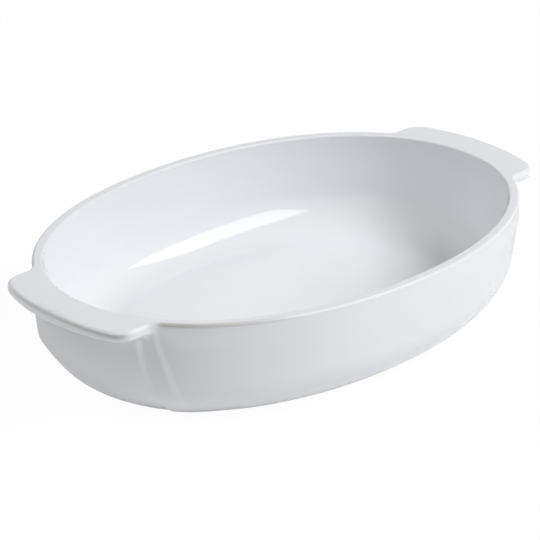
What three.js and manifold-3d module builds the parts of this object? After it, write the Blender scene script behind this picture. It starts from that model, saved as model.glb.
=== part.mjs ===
// Oval roasting dish in glazed stoneware, with two lug handles level with its rim.
// Millimetres, +Z up. The origin is the middle of the standing plane and the handles lie along X.
// The clay bowl, its handles and its foot are one firing, and a coat of glass covers all but the foot.

import * as THREE from 'three';
import { mergeVertices } from 'three/addons/utils/BufferGeometryUtils.js';
import Module from 'manifold-3d';

// Bowl, measured over the glaze
const RIM_LENGTH = 320;
const RIM_WIDTH = 222.4;
const OVAL_POWER = 2.11; // 2 is a true ellipse, more is squarer
const DISH_HEIGHT = 65.4;
const WALL = 6;
const WALL_DRAFT = THREE.MathUtils.degToRad(7);
const HEEL_RADIUS = 31.2; // outside, where the wall turns under
const INSIDE_HEEL_RADIUS = 26;
const FLOOR = 6;
const RIM_RADIUS = 2;

// Standing ring of bare clay
const FOOT_HEIGHT = 1.8;
const FOOT_WIDTH = 6;
const FOOT_MARGIN = 1.5; // from the edge of the flat base to the ring
const FOOT_CHAMFER = 0.6;

// Lug handles
const HANDLE_REACH = 16.5; // past the end of the rim
const HANDLE_WIDTH = 99.2;
const HANDLE_THICKNESS = 6.6;
const HANDLE_BOW = 10.9; // how far the outer edge falls back at its corners
const HANDLE_CORNER = 13;
const HANDLE_FILLET = 8; // where the side of a handle runs into the rim
const HANDLE_EDGE = 2.2; // rounding of the upper and lower edges
const HANDLE_BITE = 0.6; // how far the fillets run into the wall

// Two folds run down the wall from under each side of a handle, with a flute between them
const FOLD_HEIGHT = 1.3; // how far a fold stands over what lies beside it
const SWELL_HEIGHT = 2; // how far the wall swells out under the folds
const SWELL_SPREAD = 45; // from the first fold to where the swelling has run out into the side
const FOOT_SHARE = 0.24; // what is left of the folds and the swelling at the base
const FOLD_STEP = 3.2; // width over which a fold drops
const FOLD_INSET = 1.4; // from the side of the handle to the first fold, at the rim
const FOLD_LEAN = 14.5; // how much farther out the fold stands at the base, measured on the rim's oval
const FOLD_RUNOUT = 5; // length over which a fold rises from the wall, below the handle
const FLUTE_WIDTH = 12.3; // from one fold to the next
const FLUTE_TAPER = 3.5; // how much narrower the flute is at the rim
const FLUTE_TAPER_FROM = 0.5; // share of the dish's height over which the flute begins to narrow
const FLUTE_HEIGHT = 0.3; // of the flute's bottom over the swelling
const PANEL_SPREAD = 28; // from the second fold to where the end of the wall is plain

// Glass coat, and the seat between two solids
const GLAZE = 0.6;
const SEAT_GAP = 0.3;
const SAME_POINT = 0.03; // points of an outline that lie closer are one point

// Facets
const END_STATIONS = 6; // from the long axis to the second fold
const FLUTE_STATIONS = 2;
const SIDE_STATIONS = 10; // from the first fold to the short axis
const HEEL_STEPS = 4;
const WALL_STEPS = 3;
const EDGE_STEPS = 2;
const HANDLE_ARC_STEPS = 3;
const FILLET_PASSES = 12; // rounds that settle where a fillet meets the rim

const HALF_LENGTH = RIM_LENGTH / 2;
const HALF_WIDTH = RIM_WIDTH / 2;
const CLAY_INSET = GLAZE + SEAT_GAP; // from the glazed surface to the clay
const RIM_MIDDLE = WALL / 2; // the inside and outside coats meet here
const FLOOR_TOP = FOOT_HEIGHT + FLOOR;
const QUARTER_TURN = Math.PI / 2;

const wasm = await Module();
wasm.setup();

// Evenly spaced values from one to another, both included
function steps(from, to, count) {
  return Array.from({ length: count + 1 }, (_, i) => from + ((to - from) * i) / count);
}

// Power that keeps the sign, for the oval's formula
function spread(value, power) {
  return Math.sign(value) * Math.abs(value) ** power;
}

// Angle on the rim's oval at a distance from the long axis
function angleAt(distance) {
  return Math.asin(Math.min(1, distance / HALF_WIDTH) ** (OVAL_POWER / 2));
}

// Half-length, at a distance from the long axis, of the oval that the handles' fillets run into
function rootReachAt(distance) {
  const share = distance / (HALF_WIDTH - HANDLE_BITE);
  return (HALF_LENGTH - HANDLE_BITE) * (1 - share ** OVAL_POWER) ** (1 / OVAL_POWER);
}

// Angle between the long axis and that oval's tangent at a distance from the axis
function rootTangentAt(distance) {
  const alongX = rootReachAt(distance) ** (OVAL_POWER - 1) / (HALF_LENGTH - HANDLE_BITE) ** OVAL_POWER;
  const alongY = distance ** (OVAL_POWER - 1) / (HALF_WIDTH - HANDLE_BITE) ** OVAL_POWER;
  return Math.atan2(alongX, alongY);
}

// Where each fold begins and ends to drop at a height, as distances from the long axis,
// measured where the same place of the oval lies on the rim
function foldPlaces(z) {
  const up = THREE.MathUtils.clamp(z / DISH_HEIGHT, 0, 1);
  const narrowing = THREE.MathUtils.smoothstep(up, FLUTE_TAPER_FROM, 1);
  const first = HANDLE_WIDTH / 2 - FOLD_INSET + FOLD_LEAN * (1 - up);
  const second = first - FLUTE_WIDTH + FLUTE_TAPER * narrowing;
  const half = FOLD_STEP / 2;
  return [second - half, second + half, first - half, first + half];
}

// Angles round the oval at a height, with stations at both sides of each fold
function stationAngles(z) {
  const [panelEdge, fluteStart, fluteEnd, sideStart] = foldPlaces(z).map(angleAt);
  const quarter = [
    ...steps(0, panelEdge, END_STATIONS),
    ...steps(fluteStart, fluteEnd, FLUTE_STATIONS),
    ...steps(sideStart, QUARTER_TURN, SIDE_STATIONS),
  ];
  const back = quarter.slice(1, -1).reverse();
  const half = [...quarter, ...back.map((angle) => Math.PI - angle)];
  return [...half, ...half.map((angle) => Math.PI + angle)];
}

// A flank that falls from 1 and runs out level at a distance of 1
function flank(distance) {
  return Math.max(0, 1 - distance) ** 2;
}

// How far the folds stand out of the plain wall at a height and at a distance from the long axis
function foldRelief(distance, z) {
  const [panelEdge, fluteStart, fluteEnd, sideStart] = foldPlaces(z);
  const below = DISH_HEIGHT - HANDLE_THICKNESS - z;
  const rise = THREE.MathUtils.smoothstep(below, 0, FOLD_RUNOUT);
  const heel = THREE.MathUtils.smoothstep(z, FOOT_HEIGHT, HEEL_RADIUS);
  const share = rise * THREE.MathUtils.lerp(FOOT_SHARE, 1, heel);
  if (distance < panelEdge) {
    return share * (SWELL_HEIGHT + FOLD_HEIGHT) * flank((panelEdge - distance) / PANEL_SPREAD);
  }
  if (distance > sideStart) {
    return share * SWELL_HEIGHT * flank((distance - sideStart) / SWELL_SPREAD);
  }
  if (distance < fluteStart) {
    const down = THREE.MathUtils.smoothstep(distance, panelEdge, fluteStart);
    return share * (SWELL_HEIGHT + THREE.MathUtils.lerp(FOLD_HEIGHT, FLUTE_HEIGHT, down));
  }
  if (distance < fluteEnd) {
    const across = (distance - fluteStart) / (fluteEnd - fluteStart);
    return share * (SWELL_HEIGHT + THREE.MathUtils.lerp(FLUTE_HEIGHT, FOLD_HEIGHT, across ** 2));
  }
  const down = THREE.MathUtils.smoothstep(distance, fluteEnd, sideStart);
  return share * (SWELL_HEIGHT + FOLD_HEIGHT * (1 - down));
}

// Point on the oval at an angle, inset from the outside of the rim and moved out along its normal
function ovalPoint(angle, inset, relief) {
  const lengthwise = spread(Math.cos(angle), 2 / OVAL_POWER);
  const crosswise = spread(Math.sin(angle), 2 / OVAL_POWER);
  const x = (HALF_LENGTH - inset) * lengthwise;
  const y = (HALF_WIDTH - inset) * crosswise;
  const normal = new THREE.Vector2(
    spread(lengthwise, OVAL_POWER - 1) / (HALF_LENGTH - inset),
    spread(crosswise, OVAL_POWER - 1) / (HALF_WIDTH - inset),
  ).normalize();
  const out = relief ? relief(HALF_WIDTH * Math.abs(crosswise)) : 0;
  return new THREE.Vector2(x + normal.x * out, y + normal.y * out);
}

// Closed geometry as a solid: one vertex per corner, no empty faces, faces pointing out
function solidFrom(geometry) {
  geometry.deleteAttribute('normal');
  geometry.deleteAttribute('uv');
  const merged = mergeVertices(geometry);
  const points = merged.getAttribute('position');
  const corners = merged.getIndex().array;
  const faces = [];
  let volume = 0;
  for (let i = 0; i < corners.length; i += 3) {
    const face = [corners[i], corners[i + 1], corners[i + 2]];
    if (new Set(face).size < 3) continue;
    const [a, b, c] = face.map((corner) => new THREE.Vector3().fromBufferAttribute(points, corner));
    volume += a.dot(b.cross(c));
    faces.push(face);
  }
  const outward = volume > 0 ? faces : faces.map(([a, b, c]) => [a, c, b]);
  return new wasm.Manifold(new wasm.Mesh({
    numProp: 3,
    vertProperties: new Float32Array(points.array),
    triVerts: new Uint32Array(outward.flat()),
  }));
}

// A profile of { inset, z, folded } points swept round the oval, as a lathe turned to that shape.
// A point with no inset lies on the middle axis, and only folded rings lean with the folds.
function ovalSweep(profile) {
  const rings = profile.map(({ z, folded }) => stationAngles(folded ? z : DISH_HEIGHT));
  const outline = profile.map(({ inset, z }) => {
    const reach = inset === null ? 0 : HALF_LENGTH - inset;
    return new THREE.Vector2(reach, z);
  });
  const turned = new THREE.LatheGeometry(outline, rings[0].length);
  const points = turned.getAttribute('position');
  for (let i = 0; i < points.count; i += 1) {
    const { inset, z, folded } = profile[i % profile.length];
    const ring = rings[i % profile.length];
    const angle = ring[Math.floor(i / profile.length) % ring.length];
    const relief = folded && ((distance) => foldRelief(distance, z));
    const place = inset === null ? new THREE.Vector2() : ovalPoint(angle, inset, relief);
    points.setXYZ(i, place.x, place.y, z);
  }
  return solidFrom(turned);
}

// Points of an arc from one slope to another, both measured from level and turning under
function arcProfile(inset, z, radius, from, to, count, folded = false) {
  return steps(from, to, count).map((slope) => ({
    inset: inset - radius * Math.cos(slope),
    z: z - radius * Math.sin(slope),
    folded,
  }));
}

// Outside of the bowl from the top of the rim to the edge of the base, moved out by an offset
function outsideProfile(offset) {
  const top = DISH_HEIGHT + offset;
  const heelTop = HEEL_RADIUS * (1 - Math.sin(WALL_DRAFT));
  const heelInset = (DISH_HEIGHT - heelTop) * Math.tan(WALL_DRAFT) + HEEL_RADIUS * Math.cos(WALL_DRAFT);
  const heelEnd = Math.asin((HEEL_RADIUS - FOOT_HEIGHT) / (HEEL_RADIUS + offset));
  const heel = arcProfile(
    heelInset, HEEL_RADIUS, HEEL_RADIUS + offset, WALL_DRAFT, heelEnd, HEEL_STEPS, true,
  );
  const edgeInset = RIM_RADIUS / Math.cos(WALL_DRAFT) + RIM_RADIUS * Math.tan(WALL_DRAFT);
  const edge = arcProfile(
    edgeInset, DISH_HEIGHT - RIM_RADIUS, RIM_RADIUS + offset, -QUARTER_TURN, WALL_DRAFT, EDGE_STEPS, true,
  );
  edge[0].z = top;
  const from = edge.at(-1);
  const to = heel[0];
  const wall = steps(0, 1, WALL_STEPS).slice(1, -1).map((down) => ({
    inset: THREE.MathUtils.lerp(from.inset, to.inset, down),
    z: THREE.MathUtils.lerp(from.z, to.z, down),
    folded: true,
  }));
  return [...edge, ...wall, ...heel];
}

// Inside of the bowl from the top of the rim to the edge of the flat floor, moved into the hollow
function insideProfile(offset) {
  const wallInset = WALL / Math.cos(WALL_DRAFT);
  const heelTop = FLOOR_TOP + INSIDE_HEEL_RADIUS * (1 - Math.sin(WALL_DRAFT));
  const heelInset = wallInset + (DISH_HEIGHT - heelTop) * Math.tan(WALL_DRAFT)
    + INSIDE_HEEL_RADIUS * Math.cos(WALL_DRAFT);
  const heel = arcProfile(
    heelInset, FLOOR_TOP + INSIDE_HEEL_RADIUS, INSIDE_HEEL_RADIUS - offset,
    WALL_DRAFT, QUARTER_TURN, HEEL_STEPS,
  );
  const edgeInset = wallInset - RIM_RADIUS / Math.cos(WALL_DRAFT) + RIM_RADIUS * Math.tan(WALL_DRAFT);
  const edge = steps(-QUARTER_TURN, WALL_DRAFT, EDGE_STEPS).map((slope) => ({
    inset: edgeInset + (RIM_RADIUS + offset) * Math.cos(slope),
    z: DISH_HEIGHT - RIM_RADIUS - (RIM_RADIUS + offset) * Math.sin(slope),
  }));
  return [...edge, ...heel];
}

// The bowl's outer shape with no hollow, moved out by an offset, and its base carried straight down
function bowlBlock(offset, bottom = 0) {
  const outside = outsideProfile(offset);
  return ovalSweep([
    { inset: null, z: outside[0].z },
    ...outside,
    { inset: outside.at(-1).inset, z: bottom, folded: true },
    { inset: null, z: bottom },
  ]);
}

// A straight-sided plug of the rim's oval, inset from the outside of the rim
function ovalPlug(inset, bottom, top) {
  return ovalSweep([
    { inset: null, z: top },
    { inset, z: top },
    { inset, z: bottom },
    { inset: null, z: bottom },
  ]);
}

function makeBowl() {
  const inside = insideProfile(-CLAY_INSET);
  const outside = outsideProfile(-CLAY_INSET);
  return ovalSweep([
    { inset: null, z: inside.at(-1).z },
    ...inside.toReversed(),
    ...outside,
    { inset: null, z: outside.at(-1).z },
  ]);
}

function makeFootRing() {
  const baseEdge = outsideProfile(0).at(-1).inset;
  const outer = baseEdge + FOOT_MARGIN;
  const inner = outer + FOOT_WIDTH;
  const loop = [
    { inset: outer, z: FOOT_HEIGHT },
    { inset: outer, z: FOOT_CHAMFER },
    { inset: outer + FOOT_CHAMFER, z: 0 },
    { inset: inner - FOOT_CHAMFER, z: 0 },
    { inset: inner, z: FOOT_CHAMFER },
    { inset: inner, z: FOOT_HEIGHT },
  ];
  return ovalSweep([...loop, loop[0]]);
}

function makeInsideGlaze() {
  const face = insideProfile(0);
  const back = insideProfile(-GLAZE);
  const seam = RIM_MIDDLE + SEAT_GAP;
  return ovalSweep([
    { inset: null, z: FLOOR_TOP },
    ...face.toReversed(),
    { inset: seam, z: DISH_HEIGHT },
    { inset: seam, z: DISH_HEIGHT - GLAZE },
    ...back,
    { inset: null, z: FLOOR_TOP - GLAZE },
  ]);
}

// Places that set a handle's outline: its outer bow, its two corners and its fillets into the rim
function handlePlaces() {
  const side = HANDLE_WIDTH / 2;
  const bowRadius = (side ** 2 + HANDLE_BOW ** 2) / (2 * HANDLE_BOW);
  const bowX = HALF_LENGTH + HANDLE_REACH - bowRadius;
  const cornerReach = Math.sqrt((bowRadius - HANDLE_CORNER) ** 2 - (side - HANDLE_CORNER) ** 2);
  const cornerX = bowX + cornerReach;
  const cornerTurn = Math.atan2(side - HANDLE_CORNER, cornerReach);
  let fillet = 0;
  let filletY = side;
  for (let pass = 0; pass < FILLET_PASSES; pass += 1) {
    fillet = rootTangentAt(filletY);
    filletY = side + HANDLE_FILLET * (1 - Math.cos(fillet));
  }
  const filletX = rootReachAt(filletY) + HANDLE_FILLET * Math.sin(fillet);
  return { side, bowRadius, bowX, cornerX, cornerTurn, fillet, filletX };
}

// Outline of a handle, seen from above, with its root inside the bowl, moved out by an offset
function handleOutline(offset) {
  const { side, bowRadius, bowX, cornerX, cornerTurn, fillet, filletX } = handlePlaces();
  const cornerY = side - HANDLE_CORNER;
  const filletY = side + HANDLE_FILLET;
  const corner = HANDLE_CORNER + offset;
  const hollow = HANDLE_FILLET - offset;
  const rootX = HALF_LENGTH - HANDLE_WIDTH;
  const rootY = filletY - hollow * Math.cos(fillet);
  const outline = new THREE.Shape();
  outline.moveTo(rootX, rootY);
  outline.lineTo(rootX, -rootY);
  outline.absarc(filletX, -filletY, hollow, QUARTER_TURN + fillet, QUARTER_TURN, true);
  outline.absarc(cornerX, -cornerY, corner, -QUARTER_TURN, -cornerTurn, false);
  outline.absarc(bowX, 0, bowRadius + offset, -cornerTurn, cornerTurn, false);
  outline.absarc(cornerX, cornerY, corner, cornerTurn, QUARTER_TURN, false);
  outline.absarc(filletX, filletY, hollow, -QUARTER_TURN, -QUARTER_TURN - fillet, true);
  const points = outline.getPoints(HANDLE_ARC_STEPS);
  const isApart = (point, i) => point.distanceTo(points.at(i - 1)) > SAME_POINT;
  return new THREE.Shape(points.filter(isApart));
}

// A handle's plate with rounded edges, up to the middle of the rim, moved out by an offset
function handleBlock(offset) {
  const edge = HANDLE_EDGE + offset;
  const thickness = HANDLE_THICKNESS + 2 * offset;
  const plate = new THREE.ExtrudeGeometry(handleOutline(offset), {
    depth: thickness - 2 * edge,
    bevelSize: edge,
    bevelThickness: edge,
    bevelOffset: -edge,
    bevelSegments: EDGE_STEPS,
  });
  plate.translate(0, 0, DISH_HEIGHT - HANDLE_THICKNESS - offset + edge);
  const inner = RIM_MIDDLE - SEAT_GAP;
  return solidFrom(plate).subtract(ovalPlug(inner, 0, DISH_HEIGHT + WALL));
}

// Clay of the right handle, seated on the clay of the wall
function makeHandle() {
  return handleBlock(-CLAY_INSET).subtract(bowlBlock(-GLAZE));
}

// Coat of one handle, open towards the wall and lapped into the wall's coat
function makeHandleCoat() {
  return handleBlock(0).subtract(handleBlock(-GLAZE)).subtract(bowlBlock(-GLAZE / 2));
}

// A solid turned half round, from one end of the dish to the other
function atOtherEnd(solid) {
  return solid.rotate([0, 0, 180]);
}

function makeOutsideGlaze() {
  const wallCoat = bowlBlock(0, FOOT_HEIGHT)
    .subtract(bowlBlock(-GLAZE))
    .subtract(ovalPlug(RIM_MIDDLE, DISH_HEIGHT - WALL, DISH_HEIGHT + WALL));
  const socket = handleBlock(-GLAZE);
  const handleCoat = makeHandleCoat();
  return wallCoat
    .subtract(socket)
    .subtract(atOtherEnd(socket))
    .add(handleCoat)
    .add(atOtherEnd(handleCoat));
}

const MATERIALS = {
  stoneware: { color: 0xb99c7a, roughness: 0.85, metalness: 0 },
  bareStoneware: { color: 0xc4aa88, roughness: 0.95, metalness: 0 },
  whiteGlaze: { color: 0xf1f0ec, roughness: 0.12, metalness: 0 },
};

// Named mesh of a solid
function makeMesh(name, solid, finish) {
  const { vertProperties, triVerts } = solid.getMesh();
  const geometry = new THREE.BufferGeometry();
  geometry.setAttribute('position', new THREE.BufferAttribute(vertProperties, 3));
  geometry.setIndex(new THREE.BufferAttribute(triVerts, 1));
  geometry.computeVertexNormals();
  const mesh = new THREE.Mesh(geometry, new THREE.MeshStandardMaterial(finish));
  mesh.name = name;
  return mesh;
}

const rightHandle = makeHandle();
const dish = new THREE.Group();
dish.add(
  makeMesh('stoneware_bowl', makeBowl(), MATERIALS.stoneware),
  makeMesh('right_handle', rightHandle, MATERIALS.stoneware),
  makeMesh('left_handle', atOtherEnd(rightHandle), MATERIALS.stoneware),
  makeMesh('foot_ring', makeFootRing(), MATERIALS.bareStoneware),
  makeMesh('inside_glaze', makeInsideGlaze(), MATERIALS.whiteGlaze),
  makeMesh('outside_glaze', makeOutsideGlaze(), MATERIALS.whiteGlaze),
);

export default dish;
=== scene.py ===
"""Oval roasting dish in white-glazed stoneware: a glazed shell with two lug handles, and its bare foot.

Sizes are metres. The origin is the middle of the standing plane, and the handles lie along X.
"""

import math

import bmesh
import bpy
from bpy.props import FloatProperty, FloatVectorProperty, PointerProperty
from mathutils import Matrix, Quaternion, Vector


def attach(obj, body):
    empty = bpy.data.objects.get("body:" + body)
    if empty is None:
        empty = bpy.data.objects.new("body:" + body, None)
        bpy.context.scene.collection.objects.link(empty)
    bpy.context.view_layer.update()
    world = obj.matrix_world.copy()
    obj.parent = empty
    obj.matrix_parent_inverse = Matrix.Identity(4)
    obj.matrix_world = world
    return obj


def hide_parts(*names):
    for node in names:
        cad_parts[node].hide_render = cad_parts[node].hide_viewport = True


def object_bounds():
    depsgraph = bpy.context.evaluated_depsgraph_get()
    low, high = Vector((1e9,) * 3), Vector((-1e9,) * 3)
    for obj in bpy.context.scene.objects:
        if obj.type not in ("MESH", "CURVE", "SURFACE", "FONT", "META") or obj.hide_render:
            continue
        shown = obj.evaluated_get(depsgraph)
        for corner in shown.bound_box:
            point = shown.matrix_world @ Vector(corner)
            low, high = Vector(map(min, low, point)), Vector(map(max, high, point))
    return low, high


bl_info = {
    "name": "Oval Roasting Dish",
    "version": (1, 0, 0),
    "blender": (4, 5, 0),
    "location": "View3D > Sidebar > Roasting Dish",
    "description": "Builds a glazed oval roasting dish, its bare foot and a studio to show it in",
    "category": "Mesh",
}

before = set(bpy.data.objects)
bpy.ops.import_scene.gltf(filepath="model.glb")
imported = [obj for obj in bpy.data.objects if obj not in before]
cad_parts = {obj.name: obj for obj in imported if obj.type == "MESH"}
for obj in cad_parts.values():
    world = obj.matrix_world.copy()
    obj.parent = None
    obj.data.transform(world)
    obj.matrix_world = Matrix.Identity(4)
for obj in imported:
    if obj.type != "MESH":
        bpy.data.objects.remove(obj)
CAD_LOW, CAD_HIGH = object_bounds()

BODY = "root"
QUARTER_TURN = math.pi / 2

# Stations round a quarter of the oval
END_STATIONS = 38
STEP_STATIONS = 8
FLUTE_STATIONS = 16
SIDE_STATIONS = 92
LUG_STATIONS = 2 * STEP_STATIONS + FLUTE_STATIONS  # round the corner of a handle, and along its side

# Rings over the shell, from the middle of the base to the middle of the floor
BASE_RINGS = 5
HEEL_RINGS = 16
WALL_RINGS = 14
ROOT_RINGS = 5
ROOT_FILLET_RINGS = 7
UNDERSIDE_RINGS = 5
LOWER_EDGE_RINGS = 6
BAND_RINGS = 3
UPPER_EDGE_RINGS = 8
TOP_RINGS = 6
INNER_EDGE_RINGS = 7
INNER_WALL_RINGS = 16
INNER_HEEL_RINGS = 24
FLOOR_RINGS = 10
FOOT_EDGE_RINGS = 4

# How far a handle stands over the rim's oval where its plate begins, and where it is whole
PLATE_BEGINS = 0.0003
PLATE_WHOLE = 0.0035

# Roundings of a plate that is narrow, as shares of the room there is
LOWER_EDGE_ROOM = 0.6
ROOT_FILLET_ROOM = 0.5

# Line where the glaze runs thin: its depth and its reach, as shares of the edge's rounding
RIM_LINE_DEPTH = 0.5
RIM_LINE_REACH = 1.15
HANDLE_LINE_DEPTH = 0.35  # in the middle of a handle
CORNER_LINE_DEPTH = 1.15  # at its corners
CORNER_BEGINS = 0.45  # where they begin, as a share of its width
HANDLE_LINE_REACH = 0.60
LINE_STRENGTH = 0.85
SIDE_FADE = 0.85  # how much of the line is gone on a handle's side
SIDE_BEGINS = (0.15, 0.40)  # as shares of the way from the corner to the end of the side fillet
SIDE_ENDS = (0.90, 1.05)

# Where the glaze breaks along that line: from where it begins to where it is full, along X and along Y
BREAK_ALONG = (-0.080, -0.135)
BREAK_ACROSS = (0.01, -0.06)
BREAK_ACROSS_SHARES = (0.50, 1.0)
BREAK_FRAY = (0.25, 0.7)  # values of the noise that frays it
BREAK_FRAY_SHARES = (0.70, 1.0)

# Noise in the materials: scale and sharpness of patches, scale and detail of the rest
GLAZE_PATCHES = (9.0, 1.6)
CLAY_GRAINS = (420.0, 2.2)
BREAK_NOISE = (22, 3)
GLAZE_WAVES = (55, 1)
CLAY_GRIT = (1600, 3)
PATCH_DETAIL = 4

# Strength and depth of what the noise does to the surface
GLAZE_RELIEF = (0.25, 0.0001)
CLAY_RELIEF = (0.5, 0.0002)
GLOSS_SPREAD = (0.85, 1.25)  # of the glaze's roughness, from patch to patch
MATT = 0.9

FLOOR_REACH = 6.0
HALVINGS = 40  # of the range in which an angle is sought
GRID_DIGITS = 5
WELD = 1e-6


class DishSizes(bpy.types.PropertyGroup):
    """Sizes of the dish, over its glaze"""

    rim_length: FloatProperty(
        name="Rim length", description="Length of the rim's oval, without the handles",
        default=0.320, unit="LENGTH")
    rim_width: FloatProperty(
        name="Rim width", description="Width of the rim's oval", default=0.22218, unit="LENGTH")
    oval_power: FloatProperty(
        name="Oval power", description="2 is a true ellipse, more is squarer", default=2.11)
    height: FloatProperty(
        name="Height", description="From the standing plane to the rim",
        default=CAD_HIGH.z, unit="LENGTH")
    wall: FloatProperty(
        name="Wall", description="Thickness of the wall", default=0.006, unit="LENGTH")
    draft: FloatProperty(
        name="Draft", description="How far the wall leans out",
        default=math.radians(7), subtype="ANGLE")
    heel_radius: FloatProperty(
        name="Heel radius", description="Outside, where the wall turns under",
        default=0.0312, unit="LENGTH")
    inside_heel_radius: FloatProperty(
        name="Inside heel radius", description="Inside, where the wall turns into the floor",
        default=0.026, unit="LENGTH")
    floor: FloatProperty(
        name="Floor", description="Thickness of the floor", default=0.006, unit="LENGTH")
    rim_radius: FloatProperty(
        name="Rim radius", description="Rounding of the rim's edges", default=0.0013, unit="LENGTH")
    foot_height: FloatProperty(
        name="Foot height", description="Height of the bare ring", default=0.0018, unit="LENGTH")
    foot_width: FloatProperty(
        name="Foot width", description="Width of the bare ring", default=0.006, unit="LENGTH")
    foot_margin: FloatProperty(
        name="Foot margin", description="From the edge of the base to the ring",
        default=0.0015, unit="LENGTH")
    foot_edge: FloatProperty(
        name="Foot edge", description="Rounding of the ring's lower edges",
        default=0.0006, unit="LENGTH")


class HandleSizes(bpy.types.PropertyGroup):
    """Sizes of the lug handles, and of the folds in the wall under them"""

    reach: FloatProperty(
        name="Reach", description="Past the end of the rim", default=CAD_HIGH.x - 0.160, unit="LENGTH")
    width: FloatProperty(
        name="Width", description="Across the dish", default=0.0992, unit="LENGTH")
    thickness: FloatProperty(
        name="Thickness", description="Thickness of the plate", default=0.0066, unit="LENGTH")
    bow: FloatProperty(
        name="Bow", description="How far the outer edge falls back at its corners",
        default=0.0109, unit="LENGTH")
    corner: FloatProperty(
        name="Corner radius", description="Of the outer corners", default=0.013, unit="LENGTH")
    fillet: FloatProperty(
        name="Side fillet", description="Where a side runs into the rim", default=0.008, unit="LENGTH")
    edge: FloatProperty(
        name="Upper edge", description="Rounding of the upper edge", default=0.0022, unit="LENGTH")
    lower_edge: FloatProperty(
        name="Lower edge", description="Rounding of the lower edge", default=0.0024, unit="LENGTH")
    root_fillet: FloatProperty(
        name="Root fillet", description="Where the underside runs into the wall",
        default=0.005, unit="LENGTH")
    flow: FloatProperty(
        name="Flow", description="How far below its underside a handle changes the wall",
        default=0.003, unit="LENGTH")
    first_fold: FloatProperty(
        name="First fold", description="How far the fold under a handle's side stands out",
        default=0.0008, unit="LENGTH")
    second_fold: FloatProperty(
        name="Second fold", description="How far the fold nearer the end stands out",
        default=0.0017, unit="LENGTH")
    swell_height: FloatProperty(
        name="Swell height", description="How far the wall swells out under the folds",
        default=0.002, unit="LENGTH")
    swell_spread: FloatProperty(
        name="Swell spread", description="From the first fold to where the swelling has run out",
        default=0.075, unit="LENGTH")
    swell_runout: FloatProperty(
        name="Swell run-out", description="Length over which the swelling rises, below the rim",
        default=0.014, unit="LENGTH")
    foot_share: FloatProperty(
        name="Foot share", description="What is left of the swelling at the base", default=0.24)
    foot_bulge: FloatProperty(
        name="Foot bulge", description="How far the wall stands out under the flute, at the base",
        default=0.0018, unit="LENGTH")
    foot_spread: FloatProperty(
        name="Foot spread", description="From the first fold to where that bulge has run out",
        default=0.030, unit="LENGTH")
    fold_step: FloatProperty(
        name="Fold step", description="Width over which a fold drops", default=0.0038, unit="LENGTH")
    fold_inset: FloatProperty(
        name="Fold inset", description="From the side of the handle to the fold under it",
        default=0.0004, unit="LENGTH")
    fold_lean: FloatProperty(
        name="Fold lean", description="How much farther out the fold stands at the base",
        default=0.0145, unit="LENGTH")
    fold_runout: FloatProperty(
        name="Fold run-out", description="Length over which a fold rises, below the rim",
        default=0.006, unit="LENGTH")
    flute_width: FloatProperty(
        name="Flute width", description="From one fold to the next", default=0.0112, unit="LENGTH")
    flute_taper: FloatProperty(
        name="Flute taper", description="How much narrower the flute is at the rim",
        default=0.0035, unit="LENGTH")
    flute_taper_from: FloatProperty(
        name="Flute taper from", description="Share of the height where that narrowing begins",
        default=0.5, min=0, max=1)
    flute_height: FloatProperty(
        name="Flute height", description="Of the flute's bottom over the swelling",
        default=0.0003, unit="LENGTH")
    panel_spread: FloatProperty(
        name="Panel spread", description="From the second fold to where the end of the wall is plain",
        default=0.028, unit="LENGTH")


class DishFinish(bpy.types.PropertyGroup):
    """Colours and gloss of the glaze and of the bare clay"""

    glaze: FloatVectorProperty(
        name="Glaze", description="Colour of the white glaze", subtype="COLOR", size=3,
        default=(0.880, 0.888, 0.918), min=0, max=1)
    glaze_shade: FloatVectorProperty(
        name="Glaze shade", description="Colour of the glaze where it lies thicker",
        subtype="COLOR", size=3, default=(0.862, 0.872, 0.900), min=0, max=1)
    glaze_break: FloatVectorProperty(
        name="Glaze break", description="Colour where the glaze thins on an edge",
        subtype="COLOR", size=3, default=(0.40, 0.39, 0.33), min=0, max=1)
    glaze_roughness: FloatProperty(
        name="Glaze roughness", description="Roughness of the glaze", default=0.03, min=0, max=1)
    glaze_specular: FloatProperty(
        name="Glaze gloss", description="Strength of the reflections", default=0.45, min=0, max=1)
    clay: FloatVectorProperty(
        name="Clay", description="Colour of the bare clay", subtype="COLOR", size=3,
        default=(0.60, 0.49, 0.36), min=0, max=1)
    clay_shade: FloatVectorProperty(
        name="Clay shade", description="Darker grains of the bare clay", subtype="COLOR", size=3,
        default=(0.43, 0.33, 0.23), min=0, max=1)


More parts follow.
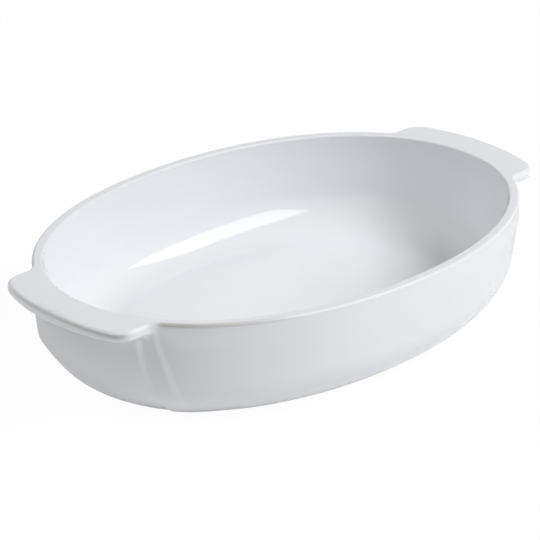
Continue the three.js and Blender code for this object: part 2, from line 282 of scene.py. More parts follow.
class StudioSetup(bpy.types.PropertyGroup):
    """Camera, soft lamps and floor"""

    azimuth: FloatProperty(
        name="Camera azimuth", description="0 looks along +Y",
        default=math.radians(-44.41), subtype="ANGLE")
    elevation: FloatProperty(
        name="Camera elevation", description="Above the horizon",
        default=math.radians(24.51), subtype="ANGLE")
    distance: FloatProperty(
        name="Camera distance", description="From the point it aims at", default=1.45855, unit="LENGTH")
    aim: FloatVectorProperty(
        name="Aim", description="Point in the plane of the rim that the camera aims at",
        subtype="TRANSLATION", size=2, default=(-0.05349, -0.04458))
    focal_pixels: FloatProperty(
        name="Focal length", description="In pixels of the picture", default=2638.0)
    picture_pixels: FloatProperty(
        name="Picture width", description="In pixels", default=540.0)
    key_bearing: FloatProperty(
        name="Softbox bearing", description="From +X towards +Y",
        default=math.radians(-60), subtype="ANGLE")
    key_elevation: FloatProperty(
        name="Softbox elevation", description="Above the horizon",
        default=math.radians(42.5), subtype="ANGLE")
    key_distance: FloatProperty(
        name="Softbox distance", description="From the dish", default=3.0, unit="LENGTH")
    key_width: FloatProperty(
        name="Softbox width", description="Level side", default=3.1, unit="LENGTH")
    key_height: FloatProperty(
        name="Softbox height", description="Upright side", default=1.275, unit="LENGTH")
    key_roll: FloatProperty(
        name="Softbox roll", description="Turn about the line to the dish",
        default=math.radians(10), subtype="ANGLE")
    key_radiance: FloatProperty(
        name="Softbox brightness", description="Where 1 is white", default=4.05)
    core_bearing: FloatProperty(
        name="Core bearing", description="Of the softbox's brighter middle",
        default=math.radians(-62), subtype="ANGLE")
    core_elevation: FloatProperty(
        name="Core elevation", description="Of the softbox's brighter middle",
        default=math.radians(43), subtype="ANGLE")
    core_width: FloatProperty(
        name="Core width", description="Level side of the brighter middle", default=1.09, unit="LENGTH")
    core_height: FloatProperty(
        name="Core height", description="Upright side of the brighter middle",
        default=1.0, unit="LENGTH")
    core_radiance: FloatProperty(
        name="Core brightness", description="What the middle adds, where 1 is white", default=9.3)
    fill_bearing: FloatProperty(
        name="Fill bearing", description="From +X towards +Y",
        default=math.radians(140), subtype="ANGLE")
    fill_elevation: FloatProperty(
        name="Fill elevation", description="Above the horizon",
        default=math.radians(40), subtype="ANGLE")
    fill_width: FloatProperty(
        name="Fill width", description="Level side", default=1.8, unit="LENGTH")
    fill_height: FloatProperty(
        name="Fill height", description="Upright side", default=1.35, unit="LENGTH")
    fill_radiance: FloatProperty(
        name="Fill brightness", description="Where 1 is white", default=4.5)
    ambient: FloatProperty(
        name="Surroundings", description="Light from all round, where 1 is white", default=0.03)
    mirrored: FloatProperty(
        name="Mirrored surroundings", description="Share of plain white in what is mirrored all round",
        default=0.85, min=0, max=1)
    floor_tone: FloatProperty(
        name="Floor tone", description="Grey of the floor, where 1 is white",
        default=0.92, min=0, max=1)
    floor_glow: FloatProperty(
        name="Floor white", description="Share of plain white in what the camera sees of the floor",
        default=0.97, min=0, max=1)
    floor_mirror: FloatProperty(
        name="Mirrored white", description="Share of plain white in what is mirrored of the floor",
        default=0.35, min=0, max=1)


def steps(start, end, count):
    """Evenly spaced values from one to another, both included."""
    return [start + (end - start) * i / count for i in range(count + 1)]


def ease(value, low, high):
    """0 below low, 1 above high, and smooth in between."""
    t = min(1.0, max(0.0, (value - low) / (high - low)))
    return t * t * (3 - 2 * t)


def mix(a, b, share):
    """Value between two others."""
    return a + (b - a) * share


def flank(distance):
    """A flank that falls from 1 at no distance and runs out level at a distance of 1."""
    return min(1.0, max(0.0, 1 - distance)) ** 2


def lifted(point, z):
    """Point of a plan at a height."""
    return Vector((point.x, point.y, z))


class DishShape:
    """Formulas of the dish's surface for the quarter between +X and +Y."""

    def __init__(self, dish, handle):
        self.dish = dish
        self.handle = handle
        self.half_length = dish.rim_length / 2
        self.half_width = dish.rim_width / 2
        self.height = dish.height
        self.tan = math.tan(dish.draft)
        self.floor_top = dish.foot_height + dish.floor
        self.heel_top = dish.heel_radius * (1 - math.sin(dish.draft))
        heel_reach = dish.heel_radius * math.cos(dish.draft)
        self.heel_inset = (dish.height - self.heel_top) * self.tan + heel_reach
        self.edge_inset = dish.rim_radius / math.cos(dish.draft) + dish.rim_radius * self.tan
        self.edge_foot = dish.height - dish.rim_radius * (1 + math.sin(dish.draft))
        self.underside = dish.height - handle.thickness
        self.handle_foot = self.underside - handle.flow - handle.root_fillet
        self.angles = {}
        self.rim_angles = self.station_angles(dish.height)
        self.outline = self.plan_outline()

    def angle_at(self, distance):
        """Angle on the rim's oval at a distance from the long axis."""
        return math.asin(min(1.0, distance / self.half_width) ** (self.dish.oval_power / 2))

    def folds_at(self, z):
        """Where each fold begins and ends to drop, as distances from the long axis at the rim."""
        handle = self.handle
        up = min(1.0, z / self.height)
        first = handle.width / 2 - handle.fold_inset + handle.fold_lean * (1 - up)
        second = first - handle.flute_width + handle.flute_taper * ease(up, handle.flute_taper_from, 1)
        half = handle.fold_step / 2
        return second - half, second + half, first - half, first + half

    def station_angles(self, z):
        """Angles round the quarter at a height, with stations along the two folds."""
        if z not in self.angles:
            panel_edge, flute_start, flute_end, side_start = map(self.angle_at, self.folds_at(z))
            self.angles[z] = [
                *steps(0, panel_edge, END_STATIONS),
                *steps(panel_edge, flute_start, STEP_STATIONS)[1:],
                *steps(flute_start, flute_end, FLUTE_STATIONS)[1:],
                *steps(flute_end, side_start, STEP_STATIONS)[1:],
                *steps(side_start, QUARTER_TURN, SIDE_STATIONS)[1:],
            ]
        return self.angles[z]

    def oval(self, angle, inset):
        """Point on the oval at an angle, inset from the rim, and the oval's normal there."""
        power = self.dish.oval_power
        along = max(0.0, math.cos(angle)) ** (2 / power)
        across = max(0.0, math.sin(angle)) ** (2 / power)
        length = self.half_length - inset
        width = self.half_width - inset
        normal = Vector((along ** (power - 1) / length, across ** (power - 1) / width)).normalized()
        return Vector((length * along, width * across)), normal

    def relief(self, distance, z):
        """How far the folds stand out of the wall at a height and at a distance from the long axis."""
        handle = self.handle
        panel_edge, flute_start, flute_end, side_start = self.folds_at(z)
        below = self.edge_foot - z
        up = ease(z, self.dish.foot_height, self.dish.heel_radius)
        first, second, flute = handle.first_fold, handle.second_fold, handle.flute_height
        swell = 1.0
        if distance < panel_edge:
            swell = flank((panel_edge - distance) / handle.panel_spread)
            height = second * swell
        elif distance < flute_start:
            height = mix(second, flute, ease(distance, panel_edge, flute_start))
        elif distance < flute_end:
            height = mix(flute, first, ((distance - flute_start) / (flute_end - flute_start)) ** 2)
        else:
            swell = 1 - ease(distance, side_start, side_start + handle.swell_spread)
            height = first * (1 - ease(distance, flute_end, side_start))
        bulge = ease(distance, panel_edge, flute_start)
        bulge *= flank((distance - flute_end) / handle.foot_spread)
        height = mix(handle.foot_bulge * bulge, height, up) * ease(below, 0, handle.fold_runout)
        swell_height = handle.swell_height * mix(handle.foot_share, 1, up)
        return height + swell * (swell_height * ease(below, 0, handle.swell_runout))

    def outside_inset(self, z):
        """Inset of the outer wall, or of the heel below it, at a height."""
        if z > self.heel_top:
            return (self.height - z) * self.tan
        radius = self.dish.heel_radius
        return self.heel_inset - math.sqrt(max(0, radius ** 2 - (radius - z) ** 2))

    def wall_at(self, station, z):
        """Point of the outer wall with its folds, at a station and a height."""
        angle = self.station_angles(z)[station]
        point, normal = self.oval(angle, self.outside_inset(z))
        distance = self.half_width * max(0.0, math.sin(angle)) ** (2 / self.dish.oval_power)
        return lifted(point + normal * self.relief(distance, z), z)

    def wall_ring(self, z):
        """Ring of the outer wall at a height."""
        return [self.wall_at(station, z) for station in range(len(self.outline))]

    def handle_corner(self):
        """Side of a handle, and the circles of its bow and its corner."""
        handle = self.handle
        side = handle.width / 2
        bow_radius = (side ** 2 + handle.bow ** 2) / (2 * handle.bow)
        bow_x = self.half_length + handle.reach - bow_radius
        corner_y = side - handle.corner
        corner_reach = math.sqrt((bow_radius - handle.corner) ** 2 - corner_y ** 2)
        turn = math.atan2(corner_y, corner_reach)
        return side, bow_radius, bow_x, bow_x + corner_reach, corner_y, turn

    def side_fillet(self, side):
        """Centre of the fillet from a handle's side to the rim, its turn, and its last angle."""
        radius = self.handle.fillet
        low, high = self.angle_at(side), self.angle_at(side + radius)
        for _ in range(HALVINGS):
            angle = (low + high) / 2
            point, normal = self.oval(angle, 0)
            centre = point + normal * radius
            if centre.y - radius < side:
                low = angle
            else:
                high = angle
        turn = math.acos(min(1.0, normal.y))
        return centre, turn, angle

    def plan_outline(self):
        """Points and normals of the outline with its handle, seen from above, one for each station."""
        side, bow_radius, bow_x, corner_x, corner_y, turn = self.handle_corner()
        radius = self.handle.fillet
        corner = self.handle.corner
        centre, fillet_turn, end_angle = self.side_fillet(side)
        outline = []
        for angle in steps(0, turn, END_STATIONS):
            normal = Vector((math.cos(angle), math.sin(angle)))
            outline.append((Vector((bow_x, 0)) + normal * bow_radius, normal))
        corner_length = corner * (QUARTER_TURN - turn)
        side_length = corner_x - centre.x
        fillet_length = radius * fillet_turn
        total = corner_length + side_length + fillet_length
        for run in steps(0, total, LUG_STATIONS)[1:]:
            if run < corner_length:
                angle = turn + run / corner
                normal = Vector((math.cos(angle), math.sin(angle)))
                outline.append((Vector((corner_x, corner_y)) + normal * corner, normal))
            elif run < corner_length + side_length:
                outline.append((Vector((corner_x - (run - corner_length), side)), Vector((0, 1))))
            else:
                angle = (run - corner_length - side_length) / radius
                normal = Vector((math.sin(angle), math.cos(angle)))
                outline.append((centre - normal * radius, normal))
        for angle in steps(end_angle, QUARTER_TURN, SIDE_STATIONS)[1:]:
            outline.append(self.oval(angle, 0))
        return outline

    def extension(self, station):
        """How far the outline lies outside the rim's own oval at a station, as a vector."""
        point, _ = self.outline[station]
        return point - self.oval(self.rim_angles[station], 0)[0]

    def handle_share(self, station):
        """0 on the plain rim, 1 on the handle's plate, and between them on its side fillet."""
        point, _ = self.outline[station]
        power = self.dish.oval_power
        along, across = point.x / self.half_length, point.y / self.half_width
        size = (along ** power + across ** power) ** (1 / power)
        return ease(point.length * (1 - 1 / size), PLATE_BEGINS, PLATE_WHOLE)

    def plate_profile(self, station):
        """Points up from the wall, along the underside of the handle and round its lower edge."""
        handle = self.handle
        point, normal = self.outline[station]
        root = self.wall_at(station, self.underside)
        edge = min(handle.lower_edge, (point - root.xy).length * LOWER_EDGE_ROOM)
        lip = point - normal * edge
        span = lip - root.xy
        fillet = min(handle.root_fillet, span.length * ROOT_FILLET_ROOM)
        away = span.normalized()
        root_heights = steps(self.handle_foot, self.underside - fillet, ROOT_RINGS)
        places = [self.wall_at(station, z) for z in root_heights]
        for turn in steps(0, QUARTER_TURN, ROOT_FILLET_RINGS)[1:]:
            z = self.underside - fillet * (1 - math.sin(turn))
            foot = self.wall_at(station, z).xy
            places.append(lifted(foot + away * fillet * (1 - math.cos(turn)), z))
        start = places[-1].xy
        places += [lifted(start.lerp(lip, t), self.underside) for t in steps(0, 1, UNDERSIDE_RINGS)[1:]]
        for turn in steps(0, QUARTER_TURN, LOWER_EDGE_RINGS)[1:]:
            out = lip + normal * edge * math.sin(turn)
            places.append(lifted(out, self.underside + edge * (1 - math.cos(turn))))
        for z in steps(self.underside + edge, self.height - handle.edge, BAND_RINGS)[1:]:
            places.append(lifted(point, z))
        return places

    def plain_profile(self, station, count):
        """As many points straight up the wall, with the outline's extension flowing down into it."""
        handle = self.handle
        extension = self.extension(station)
        places = []
        for z in steps(self.handle_foot, self.edge_foot, count - 1):
            share = ease(z, self.underside - handle.flow, self.edge_foot)
            places.append(self.wall_at(station, z) + lifted(extension, 0) * share)
        return places

    def handle_rings(self):
        """Rings from the wall up to the rim's rounded edge, round the handles where there are any."""
        columns = []
        for station in range(len(self.outline)):
            share = self.handle_share(station)
            plate = self.plate_profile(station) if share > 0 else None
            count = 1 + ROOT_RINGS + ROOT_FILLET_RINGS + UNDERSIDE_RINGS + LOWER_EDGE_RINGS + BAND_RINGS
            plain = self.plain_profile(station, count) if share < 1 else plate
            columns.append([a.lerp(b, share) for a, b in zip(plain, plate or plain)])
        return [list(ring) for ring in zip(*columns)]

    def upper_edge_rings(self):
        """Rings over the rounded upper edge of the rim and the handles."""
        rings = []
        for t in steps(0, 1, UPPER_EDGE_RINGS)[1:]:
            slope = mix(self.dish.draft, -QUARTER_TURN, t)
            rim_inset = self.edge_inset - self.dish.rim_radius * math.cos(slope)
            rim_z = self.height - self.dish.rim_radius * (1 + math.sin(slope))
            edge_inset = self.handle.edge * (1 - math.cos(t * QUARTER_TURN))
            edge_z = self.height - self.handle.edge * (1 - math.sin(t * QUARTER_TURN))
            ring = []
            for station, (point, normal) in enumerate(self.outline):
                share = self.handle_share(station)
                inset = mix(rim_inset, edge_inset, share)
                ring.append(lifted(point - normal * inset, mix(rim_z, edge_z, share)))
            rings.append(ring)
        return rings

    def thin_glaze(self, station, z):
        """How thin the glaze lies on the outer edge of the rim and the handles, from 0 to 1."""
        handle = self.handle
        share = self.handle_share(station)
        rim_edge = self.dish.rim_radius
        corner = ease(self.outline[station][0].y, 0, handle.width * CORNER_BEGINS)
        handle_depth = handle.edge * mix(HANDLE_LINE_DEPTH, CORNER_LINE_DEPTH, corner)
        depth = mix(rim_edge * RIM_LINE_DEPTH, handle_depth, share)
        reach = mix(rim_edge * RIM_LINE_REACH, handle.edge * HANDLE_LINE_REACH, share)
        along_lug = (station - END_STATIONS) / LUG_STATIONS
        beside = ease(along_lug, *SIDE_BEGINS) * (1 - ease(along_lug, *SIDE_ENDS))
        line = max(0.0, 1 - ((self.height - z - depth) / reach) ** 2)
        return line * LINE_STRENGTH * (1 - SIDE_FADE * beside)

    def inside_ring(self, inset, z):
        """Ring of the inside at an inset from the rim."""
        return [lifted(self.oval(angle, inset)[0], z) for angle in self.rim_angles]

    def inside_rings(self):
        """Rings over the inner edge of the rim, down the inside wall and round its heel."""
        dish = self.dish
        wall_inset = dish.wall / math.cos(dish.draft)
        edge_inset = wall_inset - dish.rim_radius / math.cos(dish.draft) + dish.rim_radius * self.tan
        rings = []
        for slope in steps(-QUARTER_TURN, dish.draft, INNER_EDGE_RINGS):
            inset = edge_inset + dish.rim_radius * math.cos(slope)
            rings.append(self.inside_ring(inset, self.height - dish.rim_radius * (1 + math.sin(slope))))
        radius = dish.inside_heel_radius
        heel_top = self.floor_top + radius * (1 - math.sin(dish.draft))
        for z in steps(self.edge_foot, heel_top, INNER_WALL_RINGS)[1:]:
            rings.append(self.inside_ring(wall_inset + (self.height - z) * self.tan, z))
        heel_inset = wall_inset + (self.height - heel_top) * self.tan + radius * math.cos(dish.draft)
        for slope in steps(dish.draft, QUARTER_TURN, INNER_HEEL_RINGS)[1:]:
            inset = heel_inset - radius * math.cos(slope)
            rings.append(self.inside_ring(inset, self.floor_top + radius * (1 - math.sin(slope))))
        return rings


def shrunk(ring, share):
    """Ring drawn in towards the middle of the dish."""
    return [Vector((place.x * share, place.y * share, place.z)) for place in ring]


def unthinned(rings):
    """Rings whose places all carry no thinning of the glaze."""
    return [[(place, 0.0) for place in ring] for ring in rings]


def thinned(ring, shape):
    """Ring whose places carry how thin the glaze lies there."""
    return [(place, shape.thin_glaze(station, place.z)) for station, place in enumerate(ring)]


def dish_rings(shape):
    """Rings over the whole shell, with how thin the glaze lies, from the base to the floor."""
    dish = shape.dish
    heel_end = math.asin((dish.heel_radius - dish.foot_height) / dish.heel_radius)
    heel = [shape.wall_ring(dish.heel_radius * (1 - math.sin(slope)))
            for slope in steps(heel_end, dish.draft, HEEL_RINGS)]
    base = [shrunk(heel[0], share) for share in steps(0, 1, BASE_RINGS)[:-1]]
    wall = [shape.wall_ring(z) for z in steps(shape.heel_top, shape.handle_foot, WALL_RINGS)[1:-1]]
    edge = [*shape.handle_rings(), *shape.upper_edge_rings()]
    inside = shape.inside_rings()
    top = [[a.lerp(b, share) for a, b in zip(edge[-1], inside[0])]
           for share in steps(0, 1, TOP_RINGS)[1:-1]]
    floor = [shrunk(inside[-1], share) for share in steps(1, 0, FLOOR_RINGS)[1:]]
    return [
        *unthinned([*base, *heel, *wall]),
        *(thinned(ring, shape) for ring in edge),
        *unthinned([*top, *inside, *floor]),
    ]


def mirrored_shell(name, rings, closed=False):
    """Mesh of a quarter's rings, laid on a grid and mirrored to the whole oval."""
    rows = [*rings, rings[0]] if closed else rings
    places = [spot for row in rows for spot in row]
    bm = bmesh.new()
    thin = bm.verts.layers.float.new("thin_glaze")
    bmesh.ops.create_grid(bm, x_segments=len(rows[0]) - 1, y_segments=len(rows) - 1, size=1.0)
    grid = sorted(
        bm.verts, key=lambda vert: (round(vert.co.y, GRID_DIGITS), round(vert.co.x, GRID_DIGITS)))
    if len(grid) != len(places):
        raise RuntimeError(f"{name}: the grid has {len(grid)} corners for {len(places)} places")
    for vert, (place, amount) in zip(grid, places):
        vert.co = place
        vert[thin] = amount
    for axis in ("X", "Y"):
        bmesh.ops.mirror(bm, geom=[*bm.verts, *bm.edges, *bm.faces], axis=axis, merge_dist=WELD)
    bmesh.ops.remove_doubles(bm, verts=bm.verts, dist=WELD)
    bmesh.ops.dissolve_degenerate(bm, dist=WELD, edges=bm.edges)
    bmesh.ops.recalc_face_normals(bm, faces=bm.faces)
    for face in bm.faces:
        face.smooth = True
    mesh = bpy.data.meshes.new(name)
    bm.to_mesh(mesh)
    bm.free()
    return mesh


def add_piece(name, mesh, material, slot, *nodes):
    """Object of a mesh that rides on the dish and stands for CAD nodes."""
    mesh.materials.append(material)
    piece = bpy.data.objects.new(name, mesh)
    bpy.context.scene.collection.objects.link(piece)
    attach(piece, BODY)
    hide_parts(*nodes)
    return piece


def link_chain(links, *sockets):
    """Link sockets in pairs."""
    for source, target in zip(sockets[::2], sockets[1::2]):
        links.new(source, target)


def arithmetic(nodes, operation, value=None, clamp=False):
    """Math node, with its second value where it has a fixed one."""
    node = nodes.new("ShaderNodeMath")
    node.operation = operation
    node.use_clamp = clamp
    if value is not None:
        node.inputs[1].default_value = value
    return node


def noise_texture(nodes, scale, detail):
    """Noise node of a scale and a detail."""
    node = nodes.new("ShaderNodeTexNoise")
    node.inputs["Scale"].default_value = scale
    node.inputs["Detail"].default_value = detail
    return node


def map_range(nodes, given=(0.0, 1.0), wanted=(0.0, 1.0)):
    """Node that maps one range of values to another."""
    node = nodes.new("ShaderNodeMapRange")
    for name, (start, end) in (("From", given), ("To", wanted)):
        node.inputs[f"{name} Min"].default_value = start
        node.inputs[f"{name} Max"].default_value = end
    return node


def bump(nodes, strength, distance):
    """Bump node of a strength and a depth."""
    node = nodes.new("ShaderNodeBump")
    node.inputs["Strength"].default_value = strength
    node.inputs["Distance"].default_value = distance
    return node


def mottle_group():
    """Node group: a colour that drifts to a second one in soft patches, as a kiln leaves it."""
    name = "Kiln Mottle"
    if name in bpy.data.node_groups:
        return bpy.data.node_groups[name]
    group = bpy.data.node_groups.new(name, "ShaderNodeTree")
    face = group.interface
    for label, kind, value in (
        ("Colour", "NodeSocketColor", (1, 1, 1, 1)),
        ("Shade", "NodeSocketColor", (0.5, 0.5, 0.5, 1)),
        ("Scale", "NodeSocketFloat", 10.0),
        ("Sharpness", "NodeSocketFloat", 1.0),
    ):
        socket = face.new_socket(label, in_out="INPUT", socket_type=kind)
        socket.default_value = value
    face.new_socket("Colour", in_out="OUTPUT", socket_type="NodeSocketColor")
    face.new_socket("Patches", in_out="OUTPUT", socket_type="NodeSocketFloat")
    nodes, links = group.nodes, group.links
    given = nodes.new("NodeGroupInput")
    made = nodes.new("NodeGroupOutput")
    place = nodes.new("ShaderNodeTexCoord")
    noise = nodes.new("ShaderNodeTexNoise")
    noise.inputs["Detail"].default_value = PATCH_DETAIL
    centred = arithmetic(nodes, "SUBTRACT", 0.5)
    sharper = arithmetic(nodes, "MULTIPLY_ADD", clamp=True)
    sharper.inputs[2].default_value = 0.5
    blend = nodes.new("ShaderNodeMix")
    blend.data_type = "RGBA"
    link_chain(
        links,
        place.outputs["Object"], noise.inputs["Vector"],
        given.outputs["Scale"], noise.inputs["Scale"],
        noise.outputs["Fac"], centred.inputs[0],
        centred.outputs[0], sharper.inputs[0],
        given.outputs["Sharpness"], sharper.inputs[1],
        sharper.outputs[0], blend.inputs["Factor"],
        given.outputs["Colour"], blend.inputs["A"],
        given.outputs["Shade"], blend.inputs["B"],
        blend.outputs["Result"], made.inputs["Colour"],
        sharper.outputs[0], made.inputs["Patches"],
    )
    return group


def new_material(name):
    """Material with a Principled shader, and its node tree."""
    material = bpy.data.materials.new(name)
    material.use_nodes = True
    tree = material.node_tree
    return material, tree.nodes, tree.links, tree.nodes["Principled BSDF"]


def mottled(nodes, colour, shade, scale, sharpness):
    """The mottle group placed in a material with its own values."""
    node = nodes.new("ShaderNodeGroup")
    node.node_tree = mottle_group()
    node.inputs["Colour"].default_value = (*colour, 1)
    node.inputs["Shade"].default_value = (*shade, 1)
    node.inputs["Scale"].default_value = scale
    node.inputs["Sharpness"].default_value = sharpness
    return node


def glaze_material(finish):
    """White glaze that pools in soft patches and breaks to tan on the edges at the left end."""
    material, nodes, links, shader = new_material("White Glaze")
    shader.inputs["Specular IOR Level"].default_value = finish.glaze_specular
    base = mottled(nodes, finish.glaze, finish.glaze_shade, *GLAZE_PATCHES)
    thin = nodes.new("ShaderNodeAttribute")
    thin.attribute_name = "thin_glaze"
    place = nodes.new("ShaderNodeTexCoord")
    along = nodes.new("ShaderNodeSeparateXYZ")
    towards = map_range(nodes, BREAK_ALONG)
    nearer = map_range(nodes, BREAK_ACROSS, BREAK_ACROSS_SHARES)
    patchy = noise_texture(nodes, *BREAK_NOISE)
    frayed = map_range(nodes, BREAK_FRAY, BREAK_FRAY_SHARES)
    side = arithmetic(nodes, "MULTIPLY")
    where = arithmetic(nodes, "MULTIPLY")
    amount = arithmetic(nodes, "MULTIPLY", clamp=True)
    colour = nodes.new("ShaderNodeMix")
    colour.data_type = "RGBA"
    colour.inputs["B"].default_value = (*finish.glaze_break, 1)
    gloss = map_range(nodes, wanted=[finish.glaze_roughness * share for share in GLOSS_SPREAD])
    waves = noise_texture(nodes, *GLAZE_WAVES)
    relief = bump(nodes, *GLAZE_RELIEF)
    link_chain(
        links,
        place.outputs["Object"], along.inputs["Vector"],
        along.outputs["X"], towards.inputs["Value"],
        place.outputs["Object"], patchy.inputs["Vector"],
        patchy.outputs["Fac"], frayed.inputs["Value"],
        along.outputs["Y"], nearer.inputs["Value"],
        towards.outputs["Result"], side.inputs[0],
        nearer.outputs["Result"], side.inputs[1],
        side.outputs[0], where.inputs[0],
        frayed.outputs["Result"], where.inputs[1],
        where.outputs[0], amount.inputs[0],
        thin.outputs["Fac"], amount.inputs[1],
        amount.outputs[0], colour.inputs["Factor"],
        base.outputs["Colour"], colour.inputs["A"],
        colour.outputs["Result"], shader.inputs["Base Color"],
        base.outputs["Patches"], gloss.inputs["Value"],
        gloss.outputs["Result"], shader.inputs["Roughness"],
        place.outputs["Object"], waves.inputs["Vector"],
        waves.outputs["Fac"], relief.inputs["Height"],
        relief.outputs["Normal"], shader.inputs["Normal"],
    )
    return material


def clay_material(finish):
    """Bare fired clay: matt, with darker grains and a gritty surface."""
    material, nodes, links, shader = new_material("Bare Stoneware")
    shader.inputs["Roughness"].default_value = MATT
    base = mottled(nodes, finish.clay, finish.clay_shade, *CLAY_GRAINS)
    place = nodes.new("ShaderNodeTexCoord")
    grit = noise_texture(nodes, *CLAY_GRIT)
    relief = bump(nodes, *CLAY_RELIEF)
    link_chain(
        links,
        base.outputs["Colour"], shader.inputs["Base Color"],
        place.outputs["Object"], grit.inputs["Vector"],
        grit.outputs["Fac"], relief.inputs["Height"],
        relief.outputs["Normal"], shader.inputs["Normal"],
    )
    return material


def white_share(nodes, links, seen, mirrored):
    """Share of plain white: one for what the camera sees, one for reflections, none for light."""
    path = nodes.new("ShaderNodeLightPath")
    direct = arithmetic(nodes, "MULTIPLY", seen)
    bounced = arithmetic(nodes, "MAXIMUM")
    weaker = arithmetic(nodes, "MULTIPLY", mirrored)
    either = arithmetic(nodes, "MAXIMUM")
    link_chain(
        links,
        path.outputs["Is Camera Ray"], direct.inputs[0],
        path.outputs["Is Glossy Ray"], bounced.inputs[0],
        path.outputs["Is Transmission Ray"], bounced.inputs[1],
        bounced.outputs[0], weaker.inputs[0],
        direct.outputs[0], either.inputs[0],
        weaker.outputs[0], either.inputs[1],
    )
    return either.outputs[0]


def make_world(studio):
    """Even light from all round, in front of plain white."""
    world = bpy.data.worlds.new("Studio")
    world.use_nodes = True
    nodes, links = world.node_tree.nodes, world.node_tree.links
    light = nodes["Background"]
    light.inputs["Strength"].default_value = studio.ambient
    light.inputs["Color"].default_value = (1, 1, 1, 1)
    white = nodes.new("ShaderNodeBackground")
    white.inputs["Color"].default_value = (1, 1, 1, 1)
    choice = nodes.new("ShaderNodeMixShader")
    link_chain(
        links,
        white_share(nodes, links, 1.0, studio.mirrored), choice.inputs["Fac"],
        light.outputs[0], choice.inputs[1],
        white.outputs[0], choice.inputs[2],
        choice.outputs[0], nodes["World Output"].inputs["Surface"],
    )
    bpy.context.scene.world = world


def make_floor(studio):
    """Pale floor, seen as white with the shadow of the dish."""
    bm = bmesh.new()
    bmesh.ops.create_grid(bm, x_segments=1, y_segments=1, size=FLOOR_REACH)
    mesh = bpy.data.meshes.new("floor")
    bm.to_mesh(mesh)
    bm.free()
    material, nodes, links, shader = new_material("Pale Floor")
    shader.inputs["Base Color"].default_value = (studio.floor_tone,) * 3 + (1,)
    shader.inputs["Roughness"].default_value = MATT
    shader.inputs["Specular IOR Level"].default_value = 0.0
    white = nodes.new("ShaderNodeEmission")
    choice = nodes.new("ShaderNodeMixShader")
    link_chain(
        links,
        white_share(nodes, links, studio.floor_glow, studio.floor_mirror), choice.inputs["Fac"],
        shader.outputs[0], choice.inputs[1],
        white.outputs[0], choice.inputs[2],
        choice.outputs[0], nodes["Material Output"].inputs["Surface"],
    )
    mesh.materials.append(material)
    floor = bpy.data.objects.new("floor", mesh)
    bpy.context.scene.collection.objects.link(floor)


def add_lamp(name, aim, bearing, elevation, distance, width, height, radiance, roll=0.0):
    """Soft rectangular lamp that faces a point."""
    data = bpy.data.lights.new(name, "AREA")
    data.shape = "RECTANGLE"
    data.size = width
    data.size_y = height
    data.energy = radiance * math.pi * width * height
    lamp = bpy.data.objects.new(name, data)
    level = math.cos(elevation)
    away = Vector((math.cos(bearing) * level, math.sin(bearing) * level, math.sin(elevation)))
    lamp.location = aim + away * distance
    facing = (-away).to_track_quat("-Z", "Y")
    lamp.rotation_euler = (facing @ Quaternion((0, 0, 1), roll)).to_euler()
    lamp.visible_camera = False
    bpy.context.scene.collection.objects.link(lamp)
    return lamp


def make_lamps(studio, aim):
    """Large softbox in front on the right, brighter in its middle, and a fill behind on the left."""
    add_lamp(
        "softbox", aim, studio.key_bearing, studio.key_elevation, studio.key_distance,
        studio.key_width, studio.key_height, studio.key_radiance, studio.key_roll)
    core = add_lamp(
        "softbox_core", aim, studio.core_bearing, studio.core_elevation, studio.key_distance,
        studio.core_width, studio.core_height, studio.core_radiance)
    fill = add_lamp(
        "fill", aim, studio.fill_bearing, studio.fill_elevation, studio.key_distance,
        studio.fill_width, studio.fill_height, studio.fill_radiance)
    for lamp in (core, fill):
        lamp.visible_glossy = False


def make_camera(studio, rim_height):
    """Camera at the picture's viewing angle."""
    data = bpy.data.cameras.new("camera")
    data.lens = studio.focal_pixels / studio.picture_pixels * data.sensor_width
    camera = bpy.data.objects.new("camera", data)
    level = math.cos(studio.elevation)
    back = Vector((
        math.sin(studio.azimuth) * level,
        -math.cos(studio.azimuth) * level,
        math.sin(studio.elevation),
    ))
    camera.location = Vector((*studio.aim, rim_height)) + back * studio.distance
    camera.rotation_euler = (-back).to_track_quat("-Z", "Y").to_euler()
    bpy.context.scene.collection.objects.link(camera)
    bpy.context.scene.camera = camera


class DISH_OT_studio(bpy.types.Operator):
    """Set up the floor, the lamps, the surroundings and the camera"""

    bl_idname = "dish.studio"
    bl_label = "Studio"

    def execute(self, context):
        scene = context.scene
        scene.view_settings.view_transform = "Standard"
        make_world(scene.dish_studio)
        make_floor(scene.dish_studio)
        make_lamps(scene.dish_studio, Vector((0, 0, scene.dish_sizes.height / 2)))
        make_camera(scene.dish_studio, scene.dish_sizes.height)
        return {"FINISHED"}


class DISH_OT_glazed_dish(bpy.types.Operator):
    """Build the glazed shell: floor, wall, rim and handles in one"""

    bl_idname = "dish.glazed_dish"
    bl_label = "Glazed Dish"

    def execute(self, context):
        scene = context.scene
        shape = DishShape(scene.dish_sizes, scene.dish_handles)
        mesh = mirrored_shell("glazed_dish", dish_rings(shape))
        add_piece(
            "glazed_dish", mesh, glaze_material(scene.dish_finish), "white_glaze",
            "stoneware_bowl", "left_handle", "right_handle", "inside_glaze", "outside_glaze",
        )
        return {"FINISHED"}


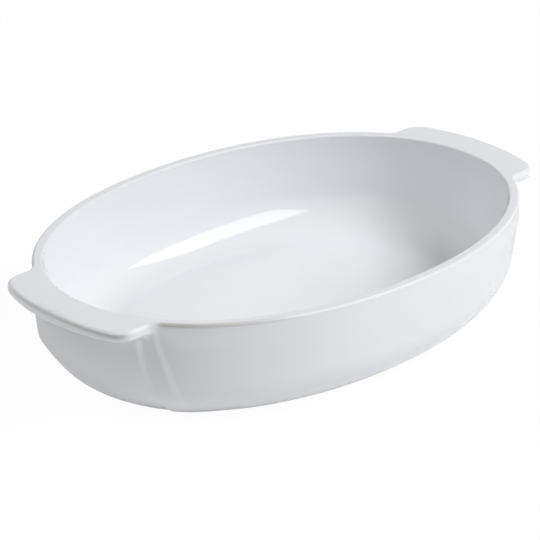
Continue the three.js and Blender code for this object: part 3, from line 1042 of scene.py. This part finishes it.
class DISH_OT_bare_foot(bpy.types.Operator):
    """Build the ring of bare clay that the dish stands on"""

    bl_idname = "dish.bare_foot"
    bl_label = "Bare Foot"

    def execute(self, context):
        scene = context.scene
        dish = scene.dish_sizes
        shape = DishShape(dish, scene.dish_handles)
        outer = shape.outside_inset(dish.foot_height) + dish.foot_margin
        inner = outer + dish.foot_width
        edge = dish.foot_edge
        loop = [(outer, dish.foot_height)]
        for turn in steps(0, QUARTER_TURN, FOOT_EDGE_RINGS):
            loop.append((outer + edge * (1 - math.cos(turn)), edge * (1 - math.sin(turn))))
        for turn in steps(QUARTER_TURN, 0, FOOT_EDGE_RINGS):
            loop.append((inner - edge * (1 - math.cos(turn)), edge * (1 - math.sin(turn))))
        loop.append((inner, dish.foot_height))
        rings = [shape.inside_ring(inset, z) for inset, z in loop]
        mesh = mirrored_shell("bare_foot", unthinned(rings), closed=True)
        add_piece("bare_foot", mesh, clay_material(scene.dish_finish), "bare_stoneware", "foot_ring")
        return {"FINISHED"}


class DISH_PT_panel(bpy.types.Panel):
    """Panel that lists the dish's operators"""

    bl_label = "Roasting Dish"
    bl_idname = "DISH_PT_panel"
    bl_space_type = "VIEW_3D"
    bl_region_type = "UI"
    bl_category = "Roasting Dish"

    def draw(self, context):
        for operator in OPERATORS:
            self.layout.operator(operator.bl_idname)


GROUPS = {
    "dish_sizes": DishSizes,
    "dish_handles": HandleSizes,
    "dish_finish": DishFinish,
    "dish_studio": StudioSetup,
}
OPERATORS = (DISH_OT_studio, DISH_OT_glazed_dish, DISH_OT_bare_foot)


def register():
    for kind in (*GROUPS.values(), *OPERATORS, DISH_PT_panel):
        bpy.utils.register_class(kind)
    for name, kind in GROUPS.items():
        setattr(bpy.types.Scene, name, PointerProperty(type=kind))


def unregister():
    for name in GROUPS:
        delattr(bpy.types.Scene, name)
    for kind in (DISH_PT_panel, *reversed(OPERATORS), *reversed(GROUPS.values())):
        bpy.utils.unregister_class(kind)


def main():
    register()
    bpy.ops.dish.studio()
    bpy.ops.dish.glazed_dish()
    bpy.ops.dish.bare_foot()


if __name__ == "__main__":
    main()
